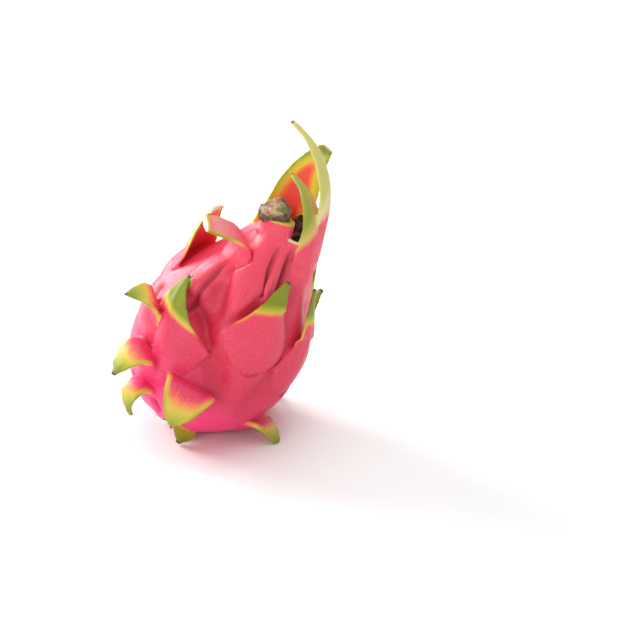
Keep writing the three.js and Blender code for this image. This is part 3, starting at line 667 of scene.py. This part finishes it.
class Finish:
    """A material in the making: adds nodes and joins them."""

    def __init__(self, name):
        self.material = bpy.data.materials.new(name)
        self.material.use_nodes = True
        self.tree = self.material.node_tree
        self.shader = self.tree.nodes["Principled BSDF"]

    def node(self, kind, **settings):
        node = self.tree.nodes.new(kind)
        for key, value in settings.items():
            setattr(node, key, value)
        return node

    def join(self, source, target):
        self.tree.links.new(source, target)

    def attribute(self, name, output="Fac"):
        return self.node("ShaderNodeAttribute", attribute_name=name).outputs[output]

    def noise(self, scale, vector=None, detail=3, rough=0.5, stretch=(1, 1, 1)):
        node = self.node("ShaderNodeTexNoise")
        node.inputs["Scale"].default_value = scale
        node.inputs["Detail"].default_value = detail
        node.inputs["Roughness"].default_value = rough
        if vector is None:
            vector = self.node("ShaderNodeTexCoord").outputs["Object"]
        place = self.node("ShaderNodeMapping")
        place.inputs["Scale"].default_value = stretch
        self.join(vector, place.inputs["Vector"])
        self.join(place.outputs["Vector"], node.inputs["Vector"])
        return node.outputs["Fac"]

    def math(self, operation, a, b):
        node = self.node("ShaderNodeMath", operation=operation)
        for socket, value in zip(node.inputs, (a, b)):
            if isinstance(value, (int, float)):
                socket.default_value = value
            else:
                self.join(value, socket)
        return node.outputs[0]

    def spread(self, value, low, high, to_low=0.0, to_high=1.0):
        node = self.node("ShaderNodeMapRange", clamp=True)
        self.join(value, node.inputs["Value"])
        limits = {"From Min": low, "From Max": high, "To Min": to_low, "To Max": to_high}
        for key, number in limits.items():
            node.inputs[key].default_value = number
        return node.outputs["Result"]

    def ramp(self, value, *stops):
        node = self.node("ShaderNodeValToRGB")
        while len(node.color_ramp.elements) < len(stops):
            node.color_ramp.elements.new(0.5)
        for element, (place, colour) in zip(node.color_ramp.elements, stops):
            element.position, element.color = place, colour
        self.join(value, node.inputs["Fac"])
        return node.outputs["Color"]

    def blend(self, share, a, b):
        node = self.node("ShaderNodeMix", data_type="RGBA")
        for socket, value in zip((node.inputs["Factor"], node.inputs[6], node.inputs[7]), (share, a, b)):
            if isinstance(value, (int, float, tuple)):
                socket.default_value = value
            else:
                self.join(value, socket)
        return node.outputs[2]

    def bump(self, height, distance, strength=1.0, under=None):
        node = self.node("ShaderNodeBump")
        node.inputs["Strength"].default_value = strength
        node.inputs["Distance"].default_value = distance
        self.join(height, node.inputs["Height"])
        if under is not None:
            self.join(under, node.inputs["Normal"])
        return node.outputs["Normal"]

    def finish(self, colour, roughness, normal=None, **fixed):
        self.join(colour, self.shader.inputs["Base Color"])
        if isinstance(roughness, float):
            self.shader.inputs["Roughness"].default_value = roughness
        else:
            self.join(roughness, self.shader.inputs["Roughness"])
        if normal is not None:
            self.join(normal, self.shader.inputs["Normal"])
        for key, value in fixed.items():
            self.shader.inputs[key.replace("_", " ")].default_value = value
        return self.material


def rind_finish():
    f = Finish("waxy_pink_rind")
    green, inner = f.attribute("green"), f.attribute("inner")
    glow, crease_shade = f.attribute("glow"), f.attribute("crease_shade")
    streaks = f.noise(1.0, f.attribute("leaf", "Vector"), detail=4, rough=0.6, stretch=(1.6, 0.12, 1))
    clouds = f.noise(38, detail=3)
    # The rind's own tone runs from magenta at the base to coral at the crown; this ramp also paints light
    # and shade by height: lighter on the upper part and near the base, darker around the middle.
    pink = f.ramp(
        f.attribute("crownward"),
        (0.1, paint(246, 48, 130)),
        (0.42, paint(214, 18, 74)),
        (0.8, paint(242, 70, 98)),
    )
    pink = f.blend(f.spread(clouds, 0.4, 0.75, 0, 0.35), pink, paint(218, 22, 70))
    pink = f.blend(f.spread(streaks, 0.45, 0.8, 0, 0.12), pink, paint(244, 110, 126))
    speckle = f.noise(2600, detail=2, rough=0.6)
    pink = f.blend(f.spread(speckle, 0.46, 0.68, 0, 0.42), pink, paint(246, 118, 136))
    # painted shade: darker in the broad valleys of the folds, darker still in the narrow creases
    pink = f.blend(f.math("MULTIPLY", f.attribute("valley_shade"), 0.5), pink, paint(196, 16, 50))
    pink = f.blend(f.math("MULTIPLY", crease_shade, 0.7), pink, paint(140, 10, 34))
    pink = f.blend(f.math("MULTIPLY", inner, 0.7), pink, paint(226, 52, 62))
    pink = f.blend(f.math("MULTIPLY", f.attribute("wash"), 0.55), pink, paint(246, 186, 186))
    ripe = f.math("ADD", green, f.spread(streaks, 0.25, 0.75, -0.07, 0.07))
    ripe = f.math("ADD", ripe, f.spread(clouds, 0.25, 0.75, -0.12, 0.12))
    leafy = f.ramp(
        ripe,
        (0.0, paint(240, 90, 96)),
        (0.18, paint(238, 138, 84)),
        (0.36, paint(214, 190, 70)),
        (0.62, paint(180, 174, 34)),
        (0.95, paint(132, 144, 18)),
    )
    cream = f.ramp(
        ripe,
        (0.0, paint(238, 84, 96)),
        (0.2, paint(244, 168, 140)),
        (0.45, paint(240, 228, 176)),
        (0.75, paint(232, 226, 158)),
        (1.0, paint(218, 216, 128)),
    )
    leafy = f.blend(f.attribute("pale"), leafy, cream)
    leafy = f.blend(f.attribute("blush"), leafy, paint(240, 168, 140))
    colour = f.blend(f.spread(ripe, 0.0, 0.16), pink, leafy)
    # painted light: where light shines through a free blade, its colour turns to these brighter oranges and
    # yellows
    backlit_paint = f.ramp(
        ripe,
        (0.0, paint(255, 92, 66)),
        (0.2, paint(255, 150, 56)),
        (0.42, paint(236, 222, 50)),
        (0.7, paint(204, 220, 44)),
        (1.0, paint(132, 160, 32)),
    )
    colour = f.blend(glow, colour, backlit_paint)
    colour = f.blend(f.attribute("cut"), colour, paint(228, 214, 188))
    colour = f.blend(f.attribute("dry_tip"), colour, paint(84, 62, 36))
    dimples = f.math("MULTIPLY", f.noise(120, detail=2), 2.0)
    relief = f.math("ADD", f.noise(900, detail=3, rough=0.6), dimples)
    skin = f.bump(relief, 0.00022, 0.35)
    veins = f.bump(streaks, 0.0006, 0.3, skin)
    gloss = f.spread(f.noise(300, detail=2), 0.3, 0.7, 0.4, 0.52)
    f.shader.inputs["Subsurface Radius"].default_value = (1.0, 0.35, 0.2)
    f.join(f.spread(glow, 0, 1, 0.16, 0.7), f.shader.inputs["Subsurface Weight"])
    return f.finish(colour, gloss, veins, Subsurface_Scale=0.003)


def dry_finish(name, dark, mid, light, scale):
    f = Finish(name)
    fibres = f.noise(scale, detail=5, rough=0.65)
    colour = f.ramp(fibres, (0.3, dark), (0.5, mid), (0.72, light))
    return f.finish(colour, 0.85, f.bump(fibres, 0.0008, 0.8))


# ---- the dry pieces ----
def flower_cup():
    """The dry cup: a ring of bark that stands in the hollow of the crown."""
    height = CUP_DEPTH + CUP_PROUD
    bpy.ops.object.select_all(action="DESELECT")
    bpy.ops.mesh.primitive_cylinder_add(vertices=64, radius=CUP_RADIUS, depth=height, end_fill_type="NGON")
    cup = bpy.context.object
    cup.name = cup.data.name = "dry_cup"
    bpy.ops.object.mode_set(mode="EDIT")
    bpy.ops.mesh.select_mode(type="FACE")
    bpy.ops.mesh.select_all(action="DESELECT")
    bpy.ops.object.mode_set(mode="OBJECT")
    for face in cup.data.polygons:
        face.select = face.normal.z > 0.9
    bpy.ops.object.mode_set(mode="EDIT")
    bpy.ops.mesh.inset(thickness=CUP_WALL, depth=0)
    bpy.ops.mesh.extrude_region_move(TRANSFORM_OT_translate={"value": (0, 0, CUP_WALL - height)})
    bpy.ops.mesh.select_all(action="SELECT")
    bpy.ops.mesh.subdivide(number_cuts=3)
    bpy.ops.object.mode_set(mode="OBJECT")
    co = places_of(cup)
    share = co[:, 2] / height + 0.5
    taper = mix(CUP_FLOOR_RADIUS / CUP_RADIUS, 1, np.clip(share / 0.86, 0, 1))
    around = np.arctan2(co[:, 1], co[:, 0])
    ragged = 0.9 * np.sin(5 * around + 1) + 0.7 * np.sin(13 * around) + 0.5 * np.sin(29 * around + 2)
    co[:, 2] += CROWN_LENGTH + CUP_PROUD - height / 2
    co[:, 2] += np.where(share > 0.8, (share - 0.8) / 0.2 * (ragged - 1.4) * 0.7, 0)
    ripple = 1 - 0.012 * (1 + np.sin(17 * around + 3 * share)) - 0.01 * (1 + np.sin(31 * around))
    co[:, 0] = co[:, 0] * taper * ripple + float(sway(CROWN_LENGTH))
    co[:, 1] = co[:, 1] * taper * ripple
    put_places(cup, co)
    facing_out(cup)
    lie_down(cup)
    bpy.ops.object.shade_smooth_by_angle(angle=math.radians(50))
    browns = (paint(30, 20, 16), paint(78, 56, 44), paint(150, 122, 100))
    cup.data.materials.append(dry_finish("dry_flower_bark", *browns, 260))
    return cup


def rough_field(places, size, seed):
    """Smooth random values from about -1 to 1 at places, with lumps of the given size."""
    return np.array([noise.fractal(Vector(p) / size + Vector((seed, 0, 0)), 0.9, 2.0, 4) for p in places])


# The oblique cut is a place on it and its normal; places here are (side, out, forward) on the stub.
CUT_AT = np.array([0, -1.0, 7.6])
CUT_NORMAL = np.array([-0.12, 0.62, 0.775])
BUD_AT, BUD_SIZE = np.array([3.1, 2.6, 4.9]), np.array([2.2, 1.8, 3.0])
FLAP_AT, FLAP_SIZE = np.array([-1.6, 4.6, 2.8]), np.array([4.6, 1.6, 1.8])
END_FLANKS = (((3.5, 0, 7.4), (0.62, -0.1, 0.78)), ((-4.5, 0, 6.4), (-0.62, -0.2, 0.76)))
END_VOXEL = 0.26


def cut_end():
    """The corky cut end: a bark-clad stub cut off aslant, with a green bud and a flap of bark on the cut."""
    rib = next(bract for bract in BRACTS if bract["name"] == "crown_rib")
    at, side, out, _ = bract_spine(rib)
    forward = np.cross(out[-1], side[-1])
    centre = at[-1] + out[-1] * (0.5 - END_RADIUS * END_FLATNESS) - side[-1] * END_SHIFT
    bpy.ops.object.select_all(action="DESELECT")
    bpy.ops.mesh.primitive_cylinder_add(
        vertices=64, radius=END_RADIUS, depth=END_LENGTH, location=(0, 0, END_LENGTH / 2 - END_SEAT)
    )
    stub = bpy.context.object
    bpy.ops.object.transform_apply()
    bpy.ops.object.mode_set(mode="EDIT")
    for place, normal in ((CUT_AT, CUT_NORMAL), *END_FLANKS):
        bpy.ops.mesh.select_all(action="SELECT")
        bpy.ops.mesh.bisect(plane_co=place, plane_no=normal, use_fill=True, clear_outer=True)
    bpy.ops.object.mode_set(mode="OBJECT")
    for place, size in ((BUD_AT, BUD_SIZE), (FLAP_AT, FLAP_SIZE)):
        bpy.ops.object.select_all(action="DESELECT")
        bpy.ops.mesh.primitive_ico_sphere_add(subdivisions=4, radius=1, location=place, scale=size)
        lump = bpy.context.object
        bpy.ops.object.transform_apply()
        stub.select_set(True)
        bpy.context.view_layer.objects.active = stub
        bpy.ops.object.join()
    stub.name = stub.data.name = "corky_cut_end"
    apply_modifier(stub, "REMESH", mode="VOXEL", voxel_size=END_VOXEL, adaptivity=0)
    apply_modifier(stub, "SMOOTH", factor=0.5, iterations=3)

    co, normals = places_of(stub), normals_of(stub)
    around = np.arctan2(co[:, 1], co[:, 0])
    radial = np.hypot(co[:, 0], co[:, 1]) / END_RADIUS
    above = (co - CUT_AT) @ CUT_NORMAL
    bud = smooth(1.9 - np.linalg.norm((co - BUD_AT) / BUD_SIZE, axis=1) * 1.3)
    flap = smooth(1.9 - np.linalg.norm((co - FLAP_AT) / FLAP_SIZE, axis=1) * 1.2)
    rim = mix(0.94, 0.76, smooth(0.6 - co[:, 1] / 7))
    face = smooth((above + 0.5) / 0.4) * smooth((rim - radial) / 0.08)
    lumps, cracks = rough_field(co, 3.2, 1), rough_field(co, 0.9, 7)
    bark = 0.5 * lumps + 0.28 * cracks - 0.35 * np.abs(np.sin(7 * around + 1.5 * lumps)) ** 3
    cut = 0.55 * lumps + 0.22 * cracks
    rough = mix(bark, cut, face) * (1 - 0.8 * bud)
    taper = 1 - 0.16 * smooth((0 - co[:, 2]) / 3)
    co = co + normals * (rough - 0.35 * (1 - face))[:, None]
    x, y = co[:, 0] * taper, co[:, 1] * taper * END_FLATNESS
    put_places(stub, centre + x[:, None] * side[-1] + y[:, None] * out[-1] + co[:, 2:] * forward)
    keep_attribute(stub, "face", face)
    keep_attribute(stub, "bud", bud * smooth((above + 0.3) / 0.5))
    keep_attribute(stub, "flap", flap * smooth((above + 0.3) / 0.5))
    # painted shade: how far each place sinks into the recesses of the bark and the cut face
    keep_attribute(stub, "hollow", np.clip(0.5 - 0.9 * rough, 0, 1))
    facing_out(stub)
    lie_down(stub)
    only_this(stub)
    bpy.ops.object.shade_smooth()
    stub.data.materials.append(cork_finish())
    return stub


def cork_finish():
    f = Finish("corky_cut")
    fibres, patches = f.noise(520, detail=5, rough=0.7), f.noise(120, detail=2)
    wood = f.ramp(
        fibres, (0.3, paint(66, 50, 40)), (0.5, paint(122, 100, 82)), (0.7, paint(176, 156, 134))
    )
    pale = f.ramp(
        patches, (0.36, paint(116, 76, 50)), (0.46, paint(188, 136, 102)), (0.58, paint(216, 180, 142)),
        (0.68, paint(140, 136, 72)),
    )
    colour = f.blend(f.attribute("face"), wood, pale)
    flap = f.ramp(fibres, (0.35, paint(196, 140, 104)), (0.6, paint(238, 212, 182)))
    bud = f.ramp(fibres, (0.3, paint(76, 104, 24)), (0.7, paint(150, 168, 74)))
    colour = f.blend(f.attribute("flap"), colour, flap)
    colour = f.blend(f.attribute("bud"), colour, bud)
    # painted shade: darker in the recesses of the bark and the cut face
    colour = f.blend(f.math("MULTIPLY", f.attribute("hollow"), 0.55), colour, paint(58, 38, 26))
    return f.finish(colour, 0.8, f.bump(fibres, 0.0006, 0.7))


def stalk_stub():
    bpy.ops.object.select_all(action="DESELECT")
    depth = STALK_PROUD + STALK_SOCKET
    bpy.ops.mesh.primitive_cylinder_add(
        vertices=40, radius=STALK_RADIUS, depth=depth, end_fill_type="NGON"
    )
    stalk = bpy.context.object
    stalk.name = stalk.data.name = "cut_stalk"
    bpy.ops.object.mode_set(mode="EDIT")
    bpy.ops.mesh.select_mode(type="FACE")
    bpy.ops.mesh.select_all(action="DESELECT")
    bpy.ops.object.mode_set(mode="OBJECT")
    for face in stalk.data.polygons:
        face.select = face.normal.z < -0.9
    bpy.ops.object.mode_set(mode="EDIT")
    bpy.ops.mesh.inset(thickness=0.5, depth=-0.2)
    bpy.ops.mesh.inset(thickness=1.2, depth=-0.4)
    bpy.ops.mesh.select_all(action="SELECT")
    bpy.ops.mesh.subdivide(number_cuts=1)
    bpy.ops.object.mode_set(mode="OBJECT")
    co = places_of(stalk)
    around = np.arctan2(co[:, 1], co[:, 0])
    fluted = 1 - 0.05 * (1 + np.sin(6 * around)) * np.clip(0.5 - co[:, 2] / depth, 0, 1)
    co[:, :2] *= fluted[:, None]
    co[:, 2] += depth / 2 - STALK_PROUD - BASE_LENGTH
    put_places(stalk, co)
    facing_out(stalk)
    lie_down(stalk)
    bpy.ops.object.shade_smooth_by_angle(angle=math.radians(40))
    straws = (paint(96, 80, 56), paint(150, 134, 98), paint(196, 184, 150))
    stalk.data.materials.append(dry_finish("dry_stalk", *straws, 500))
    return stalk


# ---- the pieces on the frame ----
skin = make_rind()
skin.data.materials.append(rind_finish())
for piece, node, slot in (
    (skin, "rind_with_bracts", "rind"),
    (flower_cup(), "flower_cup", "dry_flower"),
    (cut_end(), "dry_cut_end", "cut_end"),
    (stalk_stub(), "stalk_stub", "stalk"),
):
    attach(piece, "root")
    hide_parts(node)


# ---- studio ----
def studio_floor():
    """A flat white floor."""
    bpy.ops.object.select_all(action="DESELECT")
    bpy.ops.mesh.primitive_plane_add(size=3.2, location=(0, 0, 0))
    floor = bpy.context.object
    floor.name = "studio_floor"
    f = Finish("white_floor")
    f.shader.inputs["Base Color"].default_value = (0.93, 0.93, 0.93, 1)
    f.shader.inputs["Roughness"].default_value = 0.55
    floor.data.materials.append(f.material)


def softbox(name, place, target, size, power):
    light = bpy.data.lights.new(name, "AREA")
    light.shape, light.size, light.energy = "SQUARE", size, power
    lamp = bpy.data.objects.new(name, light)
    lamp.location = place
    lamp.rotation_euler = (Vector(target) - Vector(place)).to_track_quat("-Z", "Y").to_euler()
    bpy.context.scene.collection.objects.link(lamp)


studio_floor()
softbox("back_left", (-0.95, 0.7, 0.6), (0, 0, 0.06), 0.6, 22)
softbox("front_left", (-0.7, -1.0, 0.35), (0, 0, 0.04), 0.8, 5)
softbox("top", (0.2, 0.2, 1.6), (0.05, 0, 0), 1.6, 18)
world = bpy.data.worlds.new("studio")
world.use_nodes = True
world.node_tree.nodes["Background"].inputs["Color"].default_value = (1, 1, 1, 1)
world.node_tree.nodes["Background"].inputs["Strength"].default_value = 0.45
bpy.context.scene.world = world
bpy.context.scene.view_settings.view_transform = "Standard"

CAMERA_AT = (0.0535, -0.8184, 0.4168)
CAMERA_AIM = (0.0535, 0.0038, 0.0507)
camera = bpy.data.objects.new("camera", bpy.data.cameras.new("camera"))
camera.data.sensor_width = 36
camera.data.lens = 107.6
camera.location = CAMERA_AT
camera.rotation_euler = (Vector(CAMERA_AIM) - Vector(CAMERA_AT)).to_track_quat("-Z", "Y").to_euler()
bpy.context.scene.collection.objects.link(camera)
bpy.context.scene.camera = camera
